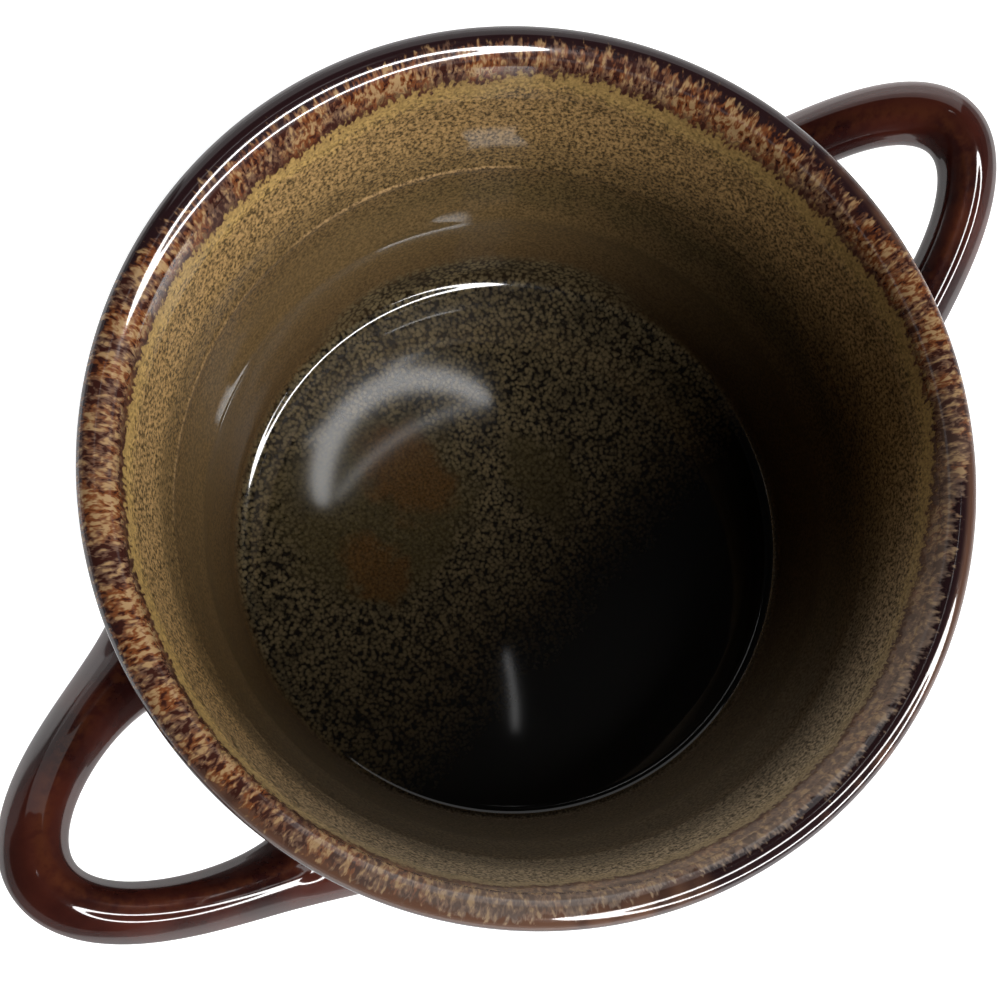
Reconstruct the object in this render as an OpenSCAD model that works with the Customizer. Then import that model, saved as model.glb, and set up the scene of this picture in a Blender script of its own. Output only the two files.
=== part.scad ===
// Stoneware soup bowl with two loop handles.
// The bowl stands on z = 0 with its axis on Z. One handle points to +X and the other to -X.
// Every outline is worked out for the glazed surface and moved inwards by the coat for the clay.

/* [Bowl] */
// Diameter over the rim
rim_d = 127; // [105:1:150]
// Height from the foot to the top of the rim
bowl_h = 71.5; // [60:0.5:85]
// Thickness of the wall with its glaze
wall_t = 5.2; // [3.6:0.1:6]
// Slope of the wall off upright, in degrees
wall_slope = 2.7; // [1:0.1:6]
// Thickness of the floor with its glaze
floor_t = 6.5; // [4.5:0.1:9]
// Radius of the inside corner between wall and floor
corner_r = 3.5; // [2:0.5:9]
// Radius of the outside corner between wall and foot
shoulder_r = 12; // [8:0.5:16]
// Depth of the floor's dish in the middle
dish_depth = 0.8; // [0:0.1:2]

/* [Throwing ridge] */
// Depth of the ridge line under the rim
ridge_drop = 24.7; // [15:0.1:40]
// How far the ridge stands out of the inside wall
ridge_out = 0.35; // [0.1:0.05:1]
// Half of the ridge's width
ridge_half_w = 1.2; // [0.6:0.1:3]

/* [Foot] */
// How far the foot stands in from the foot of the wall
foot_inset = 13.2; // [9:0.1:20]
// Width of the ring that the bowl stands on
foot_w = 4.6; // [3:0.1:8]
// Height of the foot ring
foot_h = 3.5; // [2:0.1:6]
// Bevel on both edges of the foot ring
foot_bevel = 0.7; // [0.2:0.1:1.2]

/* [Handles] */
// Depth of the roots' middle under the rim
root_drop = 35.5; // [28:0.5:42]
// Distance between the middles of the two roots of a handle
root_spacing = 44; // [40:0.5:54]
// How far off the wall the root starts to swell
root_out = 3; // [2:0.5:8]
// Straight lead of the loop out of its root, before it turns
root_lead = 9; // [7:0.5:14]
// Length of the loop from its root to the middle of its tip
loop_l = 37.9; // [32:0.1:48]
// Share of half the root spacing at which the loop turns into its tip
loop_turn_share = 0.6; // [0.5:0.02:0.9]
// Rise of the loop off level, in degrees
loop_slope = 39; // [15:1:50]
// Length over which the loop bends from level at its roots to its rise
bend_l = 10; // [6:0.5:16]
// Width of the handle at its tip, seen from above the loop
grip_w = 9; // [7:0.1:12]
// Thickness of the handle across the loop
grip_t = 10.5; // [8:0.1:14]
// Width of the handle at its root
root_w = 21.2; // [16:0.1:24]
// Thickness of the handle at its root
root_t = 14.4; // [12:0.1:18]
// Length over which the root fades into the grip
flare_l = 8.8; // [6:0.2:12]
// Swing of each handle off the long axis, in degrees, as the hand-set pair shows it
handle_swing = 1.7; // [0:0.1:4]
// Fullness of the pulled section: 2 is an ellipse, less gives a soft crest
section_power = 1.8; // [1.6:0.05:2.4]

/* [Glaze and slip] */
// Thickness of the coat inside
liner_coat = 0.5; // [0.3:0.05:0.8]
// Thickness of the coat outside
outer_coat = 0.4; // [0.3:0.05:0.8]
// Thickness of the slip that holds a handle to the wall
slip_t = 0.8; // [0.6:0.05:1.2]
// Width of the streaked band inside the rim, measured down the wall
rim_band = 9; // [5:0.5:14]
// Where the outside coat ends on the lip, in degrees up from its outer side
lip_join_angle = 105; // [70:1:130]
// Where the outside coat ends above the foot, in degrees up from the shoulder's underside
glaze_line_angle = 24; // [10:1:50]

/* [Hidden] */
$fn = 180;

CLAY = [0.62, 0.47, 0.34];
DARK_GLAZE = [0.25, 0.10, 0.07];
LINER_GLAZE = [0.36, 0.29, 0.16];
RIM_GLAZE = [0.56, 0.41, 0.22];
SLIP = [0.45, 0.31, 0.22];

// How far the seats run on past the wall line, to be cut off there
overrun = wall_t / 2;
// Steps of a half turn of an arc, rings along half a loop, and points round a section
arc_steps = 16;
loop_steps = 26;
lead_steps = 4;
root_steps = 14;
section_steps = 24;

// The lip is a half round between two parallel wall lines
lip_r = wall_t / 2;
lip_c = [rim_d / 2 - lip_r, bowl_h - lip_r];
wall_n = [cos(wall_slope), -sin(wall_slope)];
wall_down = [-sin(wall_slope), -cos(wall_slope)];

// A circle of radius r that touches the wall line has its centre at this distance from the axis.
// The line lies out from the lip's centre, and the circle's centre is at height z.
function centre_r(out, r, z) = (wall_n * lip_c + out - r + sin(wall_slope) * z) / cos(wall_slope);

floor_z = foot_h + floor_t;
shoulder_z = foot_h + shoulder_r;
shoulder_c = [centre_r(lip_r, shoulder_r, shoulder_z), shoulder_z];
corner_z = floor_z + corner_r;
corner_c = [centre_r(-lip_r, corner_r, corner_z), corner_z];
foot_r = shoulder_c[0] + shoulder_r - foot_inset;

// Outlines
function arc(c, r, from, to) =
    let (n = max(3, ceil(arc_steps * abs(to - from) / 180)))
    [for (i = [0:n]) let (a = from + (to - from) * i / n) c + r * [cos(a), sin(a)]];

function reversed(p) = [for (i = [len(p) - 1:-1:0]) p[i]];

// A point of the inside wall, at a depth under the rim, raised out of it and then sunk by the coat
function inside_point(drop, raised, sunk) =
    let (start = lip_c - lip_r * wall_n, along = (drop - lip_r) / cos(wall_slope))
    start + along * wall_down + (sunk - raised) * wall_n;

// The three stretches of the glazed surface, each sunk by its coat for the clay under it
function outside_run(sunk) = concat(
    arc(shoulder_c, shoulder_r - sunk, glaze_line_angle - 90, -wall_slope),
    arc(lip_c, lip_r - sunk, -wall_slope, lip_join_angle));

function rim_run(sunk) = concat(
    arc(lip_c, lip_r - sunk, lip_join_angle, 180 - wall_slope),
    [inside_point(rim_band, 0, sunk)]);

function liner_run(sunk) = concat(
    [inside_point(rim_band, 0, sunk),
     inside_point(ridge_drop - ridge_half_w, 0, sunk),
     inside_point(ridge_drop, ridge_out, sunk),
     inside_point(ridge_drop + ridge_half_w, 0, sunk)],
    arc(corner_c, corner_r + sunk, -wall_slope, -90),
    [[0, floor_z - dish_depth - sunk]]);

module coat(outer, inner) {
    rotate_extrude() polygon(concat(outer, reversed(inner)));
}

// The clay section: its outside under the coat, its inside under the liner, and the bare shoulder
module clay_section() {
    outside = concat(
        arc(shoulder_c, shoulder_r - outer_coat, -90, -wall_slope),
        arc(lip_c, lip_r - outer_coat, -wall_slope, lip_join_angle));
    inside = concat(
        arc(lip_c, lip_r - liner_coat, lip_join_angle, 180 - wall_slope),
        liner_run(liner_coat));
    polygon(concat([[0, foot_h + outer_coat]], outside, inside));
}

module foot_section() {
    polygon([[foot_r - foot_w, foot_h + floor_t / 2],
             [foot_r - foot_w, foot_bevel],
             [foot_r - foot_w + foot_bevel, 0],
             [foot_r - foot_bevel, 0],
             [foot_r, foot_bevel],
             [foot_r, foot_h + floor_t / 2]]);
}

// The outside as a solid form, to seat a handle or its slip on: proud is the height over the clay
module outside_form(proud) {
    face = concat(
        arc(shoulder_c, shoulder_r - outer_coat + proud, -90, -wall_slope),
        arc(lip_c, lip_r - outer_coat + proud, -wall_slope, 90));
    rotate_extrude() polygon(concat([[0, shoulder_z - shoulder_r]], face, [[0, bowl_h]]));
}

// The loop of a handle
half_gap = root_spacing / 2;
root_z = bowl_h - root_drop;
wall_r_at_root = centre_r(lip_r, 0, root_z);
root_x = sqrt(pow(wall_r_at_root, 2) - pow(half_gap, 2)) + root_out;

// A root swells as it nears the wall, and comes to rest at twice its swelling inside its seat
function swell(s) = s > 0 ? exp(-s / flare_l) : 2 - exp(s / flare_l);

// The seat reaches back until the wall, which curves away, has taken in the widest section
seat_half_w = (grip_w + 2 * (root_w - grip_w)) / 2;
seat_l = root_x - sqrt(pow(wall_r_at_root, 2) - pow(half_gap + seat_half_w, 2)) + overrun;

function cubic(p, t) =
    pow(1 - t, 3) * p[0] + 3 * pow(1 - t, 2) * t * p[1] + 3 * (1 - t) * t * t * p[2] + pow(t, 3) * p[3];

// The middle line of the loop lies on a sheet: x runs out along the sheet and y along the wall
turn = [[0, half_gap], [root_lead, half_gap], [loop_l, loop_turn_share * half_gap], [loop_l, 0]];
half_line = concat(
    [for (i = [0:lead_steps - 1]) [-seat_l * (1 - i / lead_steps), half_gap]],
    [for (i = [0:loop_steps]) cubic(turn, i / loop_steps)]);
last = len(half_line) - 1;
line = concat(half_line, [for (i = [last - 1:-1:0]) [half_line[i][0], -half_line[i][1]]]);

// The way from the root along half the line, negative inside the seat
way = [for (i = 0, s = -seat_l; i <= last;
            s = s + (i < last ? norm(half_line[i + 1] - half_line[i]) : 0), i = i + 1) s];

function half_index(i) = i <= last ? i : 2 * last - i;
function half_w(i) = (grip_w + (root_w - grip_w) * swell(way[half_index(i)])) / 2;
function half_t(i) = (grip_t + (root_t - grip_t) * swell(way[half_index(i)])) / 2;

function across(i) =
    let (step = line[min(i + 1, 2 * last)] - line[max(i - 1, 0)])
    [-step[1], step[0]] / norm(step);

// A rounded section: power 2 gives an ellipse
function bent(v) = sign(v) * pow(abs(v), 2 / section_power);

// The sheet is level up to the roots, bends up in an arc and then rises straight
bend_r = bend_l / loop_slope * 180 / PI;
function rise_at(x) = loop_slope * min(max(x / bend_l, 0), 1);
function on_sheet(x) =
    let (a = rise_at(x), past = max(x - bend_l, 0))
    [root_x + min(x, 0) + bend_r * sin(a) + past * cos(a), root_z + bend_r * (1 - cos(a)) + past * sin(a)];

function ring(i) =
    let (at = on_sheet(line[i][0]), up = rise_at(line[i][0]), side = across(i))
    [for (k = [0:section_steps - 1])
        let (a = 360 * k / section_steps,
             w = half_w(i) * bent(cos(a)),
             t = half_t(i) * bent(sin(a)))
        [at[0] + w * side[0] * cos(up) - t * sin(up),
         line[i][1] + w * side[1],
         at[1] + w * side[0] * sin(up) + t * cos(up)]];

// The stretch of the loop between two of its rings
module stretch(from, to) {
    points = [for (i = [from:to]) each ring(i)];
    sides = [for (i = [0:to - from - 1], k = [0:section_steps - 1])
        let (a = i * section_steps + k,
             b = i * section_steps + (k + 1) % section_steps)
        each [[a, b + section_steps, b], [a, a + section_steps, b + section_steps]]];
    start = [for (k = [0:section_steps - 1]) k];
    end = [for (k = [section_steps - 1:-1:0]) (to - from) * section_steps + k];
    polyhedron(points = points, faces = concat([start], sides, [end]));
}

module loop() {
    stretch(0, 2 * last);
}

// Both roots of the loop, from inside the wall to clear of it
module roots() {
    stretch(0, root_steps);
    stretch(2 * last - root_steps, 2 * last);
}

// Both handles swing towards +Y, so the right one turns on and the left one turns back
module placed(side) {
    rotate([0, 0, side > 0 ? handle_swing : 180 - handle_swing]) children();
}

// Sub-parts
module body() {
    color(CLAY) rotate_extrude() {
        clay_section();
        foot_section();
    }
}

module handle(side) {
    color(DARK_GLAZE) difference() {
        placed(side) loop();
        outside_form(slip_t);
    }
}

module slip_joint(side) {
    color(SLIP) difference() {
        intersection() {
            placed(side) roots();
            outside_form(slip_t);
        }
        outside_form(0);
    }
}

module liner_glaze() {
    color(LINER_GLAZE) coat(liner_run(0), liner_run(liner_coat));
}

module rim_glaze() {
    color(RIM_GLAZE) coat(rim_run(0), rim_run(liner_coat));
}

// The outside coat stops at the handles, which carry their own glaze
module outer_glaze() {
    color(DARK_GLAZE) difference() {
        coat(outside_run(0), outside_run(outer_coat));
        placed(1) roots();
        placed(-1) roots();
    }
}

body();
handle(-1);  // handle_left
handle(1);  // handle_right
slip_joint(-1);  // slip_joint_left
slip_joint(1);  // slip_joint_right
liner_glaze();
rim_glaze();
outer_glaze();
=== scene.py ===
"""Looks for a stoneware soup bowl with two loop handles, built around its packed solids."""

import math

import bpy
import numpy as np
from bpy.props import FloatProperty, FloatVectorProperty, PointerProperty
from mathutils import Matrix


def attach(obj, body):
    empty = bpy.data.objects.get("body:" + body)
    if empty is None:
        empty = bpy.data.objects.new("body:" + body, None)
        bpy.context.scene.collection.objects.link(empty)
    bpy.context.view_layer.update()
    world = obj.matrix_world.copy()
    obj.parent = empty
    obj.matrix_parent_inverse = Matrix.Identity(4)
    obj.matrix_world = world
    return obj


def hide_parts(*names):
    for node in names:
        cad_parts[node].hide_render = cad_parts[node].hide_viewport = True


bl_info = {
    "name": "Handled soup bowl",
    "version": (1, 0, 0),
    "blender": (4, 5, 0),
    "location": "3D View > Sidebar > Soup bowl",
    "description": "Glazed surfaces, handles, clay and a small studio for a stoneware soup bowl",
    "category": "Object",
}

MM = 0.001
BODY = "root"
AIM_Z = 40.0  # height of the point that the lamps face, in millimetres
GLAZE_IOR = 1.5
WHITE = (1.0, 1.0, 1.0)

# The wall's colours and its darker blotches, in millimetres under the rim
TAN_TO, OLIVE_FROM, OLIVE_TO, UMBER_FROM, WALL_DEPTH = 15.0, 25.5, 43.0, 60.0, 64.0
BLOTCH_DROP = 31.0
# How far in millimetres the ridge line wanders down, and the azimuth of that side in radians
RIDGE_WANDER, RIDGE_TURN = 0.6, 0.9
# Widths round the rim and lengths down the wall of the streaks' teeth, dabs and tufts, in millimetres
TOOTH, DAB, TUFT = (0.85, 1.8), (0.68, 1.05), (4.5, 12.0)
# How far they pull the lip's end and the streaks' end, in millimetres
LIP_TOOTH, LIP_DAB, END_TOOTH, END_DAB, TUFT_HANG = 4.0, 2.5, 2.0, 5.5, 2.6
# Distances between the features of the patterns, in millimetres
WALL_PATCH, FLOOR_CLOUD, FLOOR_BEND, CRYSTAL_BEND, DARK_CLOUD, DARK_GRAIN = 8.0, 11.0, 5.0, 0.7, 14.0, 1.6
CLAY_GRAIN, CLAY_CLOUD, CLAY_SPECK, CLAY_GROOVE, RIM_RIPPLE, DARK_RIPPLE = 0.5, 14.0, 1.4, 0.8, 2.6, 2.4
FLECK_CLIMB = 5.5  # how far the floor's flecks climb the wall on the far side, in millimetres
RIM_BUMP, LINER_BUMP, DARK_BUMP, CLAY_BUMP = 15e-6, 4e-6, 8e-6, 120e-6  # heights of the bumps, in metres
CREST_SHARPNESS = 10.89  # how fast the amber fades off the crest of a handle
# Azimuths in degrees of the sides on which the glazes differ, and of those where light and shade are painted
# into their colour: painted light on the outer lip, a painted reflection veil on the near side, and painted
# shade on the side that the key lamp leaves dark
NEAR_SIDE, BROWN_LIP_SIDE, LIT_LIP_SIDE, THICK_SIDE = 262.0, 212.0, -36.0, 135.0
WALL_VEIL_SIDE, PAINTED_SHADE_SIDE, SHADED_SIDE, FAR_SIDE = 249.0, 15.0, -20.0, 58.0
# Where the dark lip and the streaks end higher or lower: the azimuth, the half widths within which the
# change is full and beyond which it is none, all in degrees, and the change in millimetres.
LIP_PLACES = (
    (-21, 6, 22, -3.0), (91, 10, 18, 0.7), (134, 8, 28, -3.0), (160, 10, 25, -1.6), (197, 22, 50, -1.7),
    (274, 30, 52, 0.8))
STREAK_PLACES = (
    (-21, 5, 18, -1.8), (21, 10, 25, 0.4), (49, 4, 12, -1.2), (91, 8, 20, 1.8), (139, 10, 25, -0.6),
    (184, 5, 20, -2.0), (267, 30, 55, 3.0))
# Where a highlight is painted pale on the ridge line and where the throwing rings are glossy, in the same
# way, with a share
RIDGE_HIGHLIGHT_PLACES = ((72, 12, 24, 0.55), (120, 12, 26, 0.3))
RING_PLACES = ((69, 6, 10, 1.0), (116, 4, 7, 1.0))
HIGH_RING_PLACES = ((58, 4, 9, 0.7),)
RING_FULL, RING_NONE = 1.0, 3.0  # how far off a ring its gloss is full and none, in millimetres
# Brown pools and olive mottles on the floor: the middle and the radii in millimetres, and a share
POOLS = ((-7.5, 26.0, 8.8, 10.5, 1.0), (-24.5, 14.5, 6.0, 8.0, 1.0))
MOTTLES = ((-16.0, 24.0, 20.0, 19.0, 1.0), (13.0, 7.5, 7.0, 11.0, 0.8))
# Where the relief fades in, from none to all, in millimetres: inside under the rim and over the floor,
# outside under the rim and over the foot, and the turned groove off the axis and short of the foot ring
IN_UNDER_RIM, OVER_FLOOR = (4.0, 9.0), (2.5, 6.0)
OUT_UNDER_RIM, OVER_FOOT = (4.0, 12.0), (8.0, 20.0)
OFF_AXIS, SHORT_OF_FOOT = (1.0, 5.0), (0.3, 2.0)
BEAD_AT = 0.7  # how far the bead's middle is over the dipped edge, in millimetres
# Waves round a circle: the height in millimetres or as a share, the count and the phase in radians
WALL_WAVES = ((0.08, 2, 0.6 + math.pi / 2), (0.05, 3, 1.9 + math.pi / 2))
EDGE_WAVES = ((0.35, 3, 0.4), (0.22, 7, 1.3), (0.12, 13, 2.2))
PULL_WAVES = ((1.0, 7, 0.8), (0.6, 11, 2.0))
# The meshes: the step along each outline in millimetres, the columns round it, and which rows of a coat's
# hidden face are kept, then the points of the handles' loops, of the lamps' tubes and of the sweep
CLAY_STEP, CLAY_COLUMNS = 0.9, 240
LINER_STEP, LINER_COLUMNS, LINER_KEPT = 0.42, 280, 8
RIM_STEP, RIM_COLUMNS, RIM_KEPT = 0.16, 560, 6
OUTSIDE_STEP, OUTSIDE_COLUMNS, OUTSIDE_KEPT = 0.5, 360, 6
LOOP_STEPS, LOOP_RINGS, LOOP_COLUMNS = 400, 320, 72
HOOP_POINTS, ARC_POINTS, TUBE_SIDES, SWEEP_BEND, SWEEP_COLUMNS = 97, 61, 12, 24, 128
# The small lamps overhead, as arcs seen from above: the centre, the radius and the tube's width in
# millimetres, the azimuths of both ends in degrees, and the share of the lamps' strength.
TOP_ARCS = (
    (138, 122, 89.5, 11, 27, 144, 1.0), (135, 25, 161, 3.5, 61, 112, 0.6), (160, -390, 603, 4, 80, 97, 0.7),
    (-8, 22, 100, 5, -43, -16, 0.35))

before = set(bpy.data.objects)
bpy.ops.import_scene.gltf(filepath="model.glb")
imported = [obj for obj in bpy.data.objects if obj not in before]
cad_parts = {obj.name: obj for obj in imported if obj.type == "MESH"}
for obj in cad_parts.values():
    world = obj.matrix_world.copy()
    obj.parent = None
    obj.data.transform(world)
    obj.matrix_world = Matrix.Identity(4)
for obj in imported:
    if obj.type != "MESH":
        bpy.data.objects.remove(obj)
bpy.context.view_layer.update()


# Values


def size(label, about, millimetres):
    """A length that a user may change, given in millimetres and kept in metres."""
    return FloatProperty(
        name=label, description=about, default=millimetres * MM, unit="LENGTH", subtype="DISTANCE",
        precision=5)


def angle(label, about, degrees):
    """An angle that a user may change, given in degrees and kept in radians."""
    return FloatProperty(name=label, description=about, default=math.radians(degrees), subtype="ANGLE")


def share(label, about, value):
    """A plain number between none and all."""
    return FloatProperty(name=label, description=about, default=value, subtype="FACTOR")


def plain(label, about, value):
    """A plain number."""
    return FloatProperty(name=label, description=about, default=value)


def linear(code):
    """The linear colour of a written one such as 9d8450."""
    parts = [int(code[i : i + 2], 16) / 255 for i in (0, 2, 4)]
    return [p / 12.92 if p <= 0.04045 else ((p + 0.055) / 1.055) ** 2.4 for p in parts]


def colour(label, about, code):
    """A colour that a user may change."""
    return FloatVectorProperty(
        name=label, description=about, default=linear(code), subtype="COLOR", size=3, min=0, max=1
    )


class BowlSizes(bpy.types.PropertyGroup):
    """Sizes of the thrown bowl"""

    rim_d: size("Rim diameter", "Diameter over the rim", 127)
    bowl_h: size("Height", "Height from the foot to the top of the rim", 71.5)
    wall_t: size("Wall", "Thickness of the wall with its glaze", 5.2)
    wall_slope: angle("Wall slope", "Slope of the wall off upright", 2.7)
    floor_t: size("Floor", "Thickness of the floor with its glaze", 6.5)
    corner_r: size("Inside corner", "Radius of the inside corner between wall and floor", 3.5)
    shoulder_r: size("Shoulder", "Radius of the outside corner between wall and foot", 12)
    dish_depth: size("Dish", "Depth of the floor's dish in the middle", 0.8)
    foot_inset: size("Foot inset", "How far the foot stands in from the foot of the wall", 13.2)
    foot_w: size("Foot width", "Width of the ring that the bowl stands on", 4.6)
    foot_h: size("Foot height", "Height of the foot ring", 3.5)
    foot_bevel: size("Foot bevel", "Bevel on both edges of the foot ring", 0.7)
    ridge_drop: size("Ridge depth", "Depth of the ridge line under the rim", 24.7)
    ridge_out: size("Ridge height", "How far the ridge line stands out of the wall", 0.22)
    ridge_w: size("Ridge width", "Width of the ridge line", 1.3)
    ring_out: size("Ring height", "How far the soft throwing ring stands out of the wall", 0.48)
    ring_drop: size("Ring depth", "Depth of the soft throwing ring under the rim", 39.4)
    high_ring_drop: size("High ring depth", "Depth of the fainter ring above it under the rim", 17.5)
    ring_w: size("Ring width", "Width of the soft throwing ring", 6.4)
    throwing_out: size("Throwing marks", "Height of the fine throwing marks", 0.015)
    throwing_pitch: size("Throwing pitch", "Distance between the fine throwing marks", 6.4)
    turning_out: size("Turning marks", "Depth of the groove inside the foot ring", 0.12)
    turning_pitch: size("Turning pitch", "Distance between the turns of that groove", 2.6)


class GlazeSizes(bpy.types.PropertyGroup):
    """Thicknesses and zones of the glazes, measured over the surface from the top of the lip"""

    glaze_pool: size("Glaze pool", "How much thicker the glaze stands in the inside corner", 0.45)
    pool_from: size("Pool start", "Radius on the floor at which the glaze starts to pool", 20)
    pool_to: size("Pool end", "Radius at which the pooled glaze has its whole thickness", 49)
    pool_up: size("Pool height", "Way up the wall over which the pooled glaze fades", 12)
    bead_out: size("Bead", "How far the dipped edge's bead stands out", 0.12)
    bead_l: size("Bead length", "How far the bead spreads up the wall", 0.55)
    edge_fade: size("Edge", "How far up the wall the dipped edge wanders", 2.4)
    liner_coat: size("Inside coat", "Thickness of the coat inside", 0.5)
    outer_coat: size("Outside coat", "Thickness of the coat outside", 0.4)
    rim_band: size("Rim coat", "Depth under the rim at which the rim coat meets the inside coat", 9)
    lip_join: angle("Lip join", "Where the outside coat ends on the lip, up from its outer side", 105)
    glaze_line: angle("Glaze line", "Where the outside coat ends above the foot", 24)
    lip_way: size("Dark lip", "Way over the lip at which the dark lip ends", 1.0)
    streak_way: size("Streaks", "Way at which the streaks end", 6.6)
    ochre_w: size("Ochre line", "Width of the ochre line under the streaks", 2.9)
    fleck: size("Fleck", "Pitch of the flecks on the wall", 0.52)
    floor_fleck: size("Floor fleck", "Pitch of the flecks on the floor", 0.8)


class HandleSizes(bpy.types.PropertyGroup):
    """Sizes of the pulled handles"""

    root_drop: size("Root depth", "Depth of the roots' middle under the rim", 35.5)
    root_spacing: size("Root spacing", "Distance between the middles of the two roots", 44)
    root_out: size("Root start", "How far off the wall the root starts to swell", 3)
    root_lead: size("Lead", "Straight lead of the loop out of its root, before it turns", 9)
    loop_l: size("Length", "Length of the loop from its root to the middle of its tip", 37.9)
    loop_turn: share("Turn", "Share of half the root spacing at which the loop turns into its tip", 0.6)
    loop_slope: angle("Rise", "Rise of the loop off level", 39)
    bend_l: size("Bend", "Length over which the loop bends from level to its rise", 10)
    grip_w: size("Grip width", "Width of the handle at its tip", 9)
    grip_t: size("Grip thickness", "Thickness of the handle across the loop", 10.5)
    root_w: size("Root width", "Width of the handle at its root", 21.2)
    root_t: size("Root thickness", "Thickness of the handle at its root", 14.4)
    flare_l: size("Flare", "Length over which the root fades into the grip", 8.8)
    swing: angle("Swing", "Swing of each handle off the long axis", 1.7)
    fullness: plain("Fullness", "Fullness of the pulled section: 2 is an ellipse", 1.8)
    fillet: size("Fillet", "Radius of the glaze fillet where the handle meets the wall", 1.6)
    pull_mark: size("Pulling marks", "Height of the lengthwise pulling marks", 0.07)
    seat: size("Seat", "How deep the root is seated in the wall, through its slip", 0.8)


class Finishes(bpy.types.PropertyGroup):
    """Colours of the glazes and of the clay"""

    lip: colour("Lip", "Dark glaze over the lip", "2b1a1c")
    # Brown over the lip on one side, and on the outer lip a painted light where the key lamp falls
    lip_brown_and_lit: colour("Worn lip", "Brown where the glaze is thin over the lip", "70503f")
    maroon: colour("Maroon", "Darkest streaks under the lip", "3c1f19")
    rust: colour("Rust", "Rust streaks under the lip", "7a4526")
    mauve: colour("Mauve", "Dull red-brown streaks under the lip", "6e5242")
    cream: colour("Cream", "Pale teeth of the streaks", "ac8c64")
    ochre: colour("Ochre", "The line under the streaks", "a88a54")
    tan: colour("Tan", "Ground of the flecked wall", "8a6f48")
    olive: colour("Olive", "Lower wall", "6c5838")
    umber: colour("Umber", "Foot of the wall", "57432a")
    # A painted reflection: a greyish veil of reflected light over one side of the wall
    wall_reflection_veil: colour("Haze", "Greyish bloom on one side of the wall", "807768")
    # A painted reflection: a pale veil of reflected light over the streaks on the near side
    streak_reflection_veil: colour("Mist", "Pale veil over the streaks on the near side", "9d9084")
    floor: colour("Floor", "Ground of the floor", "18130d")
    # Painted shadow: near black where the floor and the deeper wall lie in the key lamp's shade
    floor_painted_shadow: colour("Deep floor", "Black glaze where it lies thick on the floor", "0a0908")
    floor_fleck: colour("Floor flecks", "Pale flecks on the floor", "75684c")
    floor_olive: colour("Floor mottle", "Olive mottle round the pools", "453c22")
    pool: colour("Pools", "Brown pools on the floor", "563c1c")
    outside: colour("Outside", "Dark glaze outside", "482119")
    outside_deep: colour("Deep outside", "Where the dark glaze lies thick", "27100f")
    amber: colour("Amber", "Where the dark glaze breaks over an edge", "8a5428")
    clay: colour("Clay", "Bare fired clay", "b08a66")
    clay_grit: colour("Grit", "Iron specks in the clay", "5a3a26")
    slip: colour("Slip", "Fired slip in the joints", "7a5a44")


class Studio(bpy.types.PropertyGroup):
    """Camera, lamps and floor"""

    camera_at: FloatVectorProperty(
        name="Camera place", description="Where the camera stands", subtype="TRANSLATION", unit="LENGTH",
        default=(-0.033352, -0.012901, 0.197929), precision=5,
    )
    camera_turn: FloatVectorProperty(
        name="Camera turn", description="How the camera is turned", subtype="EULER", unit="ROTATION",
        default=[math.radians(a) for a in (0.6065, -7.4107, -40.6631)],
    )
    camera_lens: plain("Lens", "Focal length in millimetres on a 36 mm sensor", 33.32)
    camera_shift: FloatVectorProperty(
        name="Camera shift", description="Shift that the photograph's framing needs", size=2,
        default=(-0.05265, 0.19307),
    )
    sweep_r: size("Sweep", "Radius of the flat floor inside the sweep", 1100)
    sweep_curve: size("Sweep curve", "Radius of the curve from the floor into the wall", 300)
    sweep_h: size("Sweep height", "Height of the sweep's wall", 150)
    sweep_t: size("Sweep sheet", "Thickness of the sweep", 4)
    paper: share("Paper", "How pale the floor is near the bowl", 0.86)
    paper_far: share("Far paper", "How pale the sweep is at its wall", 0.5)
    floor_lift: plain("Floor lift", "White that the floor shows the camera over its own light", 0.8)
    far_lift: plain("Far lift", "White that the sweep's wall shows over its own light", 0.1)
    key_power: plain("Key power", "Power of the soft key lamp in watts", 20.5)
    key_turn: angle("Key azimuth", "Azimuth of the key lamp", -87)
    key_rise: angle("Key elevation", "Elevation of the key lamp", 33)
    key_off: size("Key distance", "Distance of the key lamp", 1200)
    key_w: size("Key width", "Width of the key lamp", 1250)
    key_h: size("Key height", "Height of the key lamp", 850)
    hoop_glow: plain("Hoop", "Strength of the hoop that shows in the gloss, where 1 is white", 32)
    hoop_turn: angle("Hoop azimuth", "Azimuth of the hoop", -77.2)
    hoop_rise: angle("Hoop elevation", "Elevation of the hoop", 45)
    hoop_off: size("Hoop distance", "Distance of the hoop", 1300)
    hoop_r: size("Hoop radius", "Radius of the hoop", 587)
    hoop_w: size("Hoop width", "Width of the hoop's tube", 180)
    top_glow: plain("Top", "Strength of the small hoop overhead, where 1 is white", 6.5)
    top_h: size("Overhead height", "Height of the small lamps overhead", 900)
    panel_power: plain("Panel power", "Power of the white panel in watts", 3.2)
    panel_turn: angle("Panel azimuth", "Azimuth of the white panel", 51.5)
    panel_off: size("Panel distance", "Distance of the white panel", 900)
    panel_w: size("Panel width", "Width of the white panel", 1380)
    panel_h: size("Panel height", "Height of the white panel", 1000)
    fill_power: plain("Fill power", "Power of the low fill lamp in watts", 6.0)
    fill_turn: angle("Fill azimuth", "Azimuth of the low fill lamp", 60)
    fill_w: size("Fill width", "Width of the low fill lamp", 1380)
    fill_h: size("Fill height", "Height of the low fill lamp", 200)
    fill_over: size("Fill clearance", "How far the fill lamp's lower edge is over the rim", 25)
    zenith: plain("Zenith", "Strength of the room's light from above", 0.012)
    horizon: plain("Horizon", "Strength of the room's light from the side", 0.06)


def in_mm(group, *names):
    """The lengths of a group in millimetres, as plain numbers."""
    return [getattr(group, name) / MM for name in names]


# Outline


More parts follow.
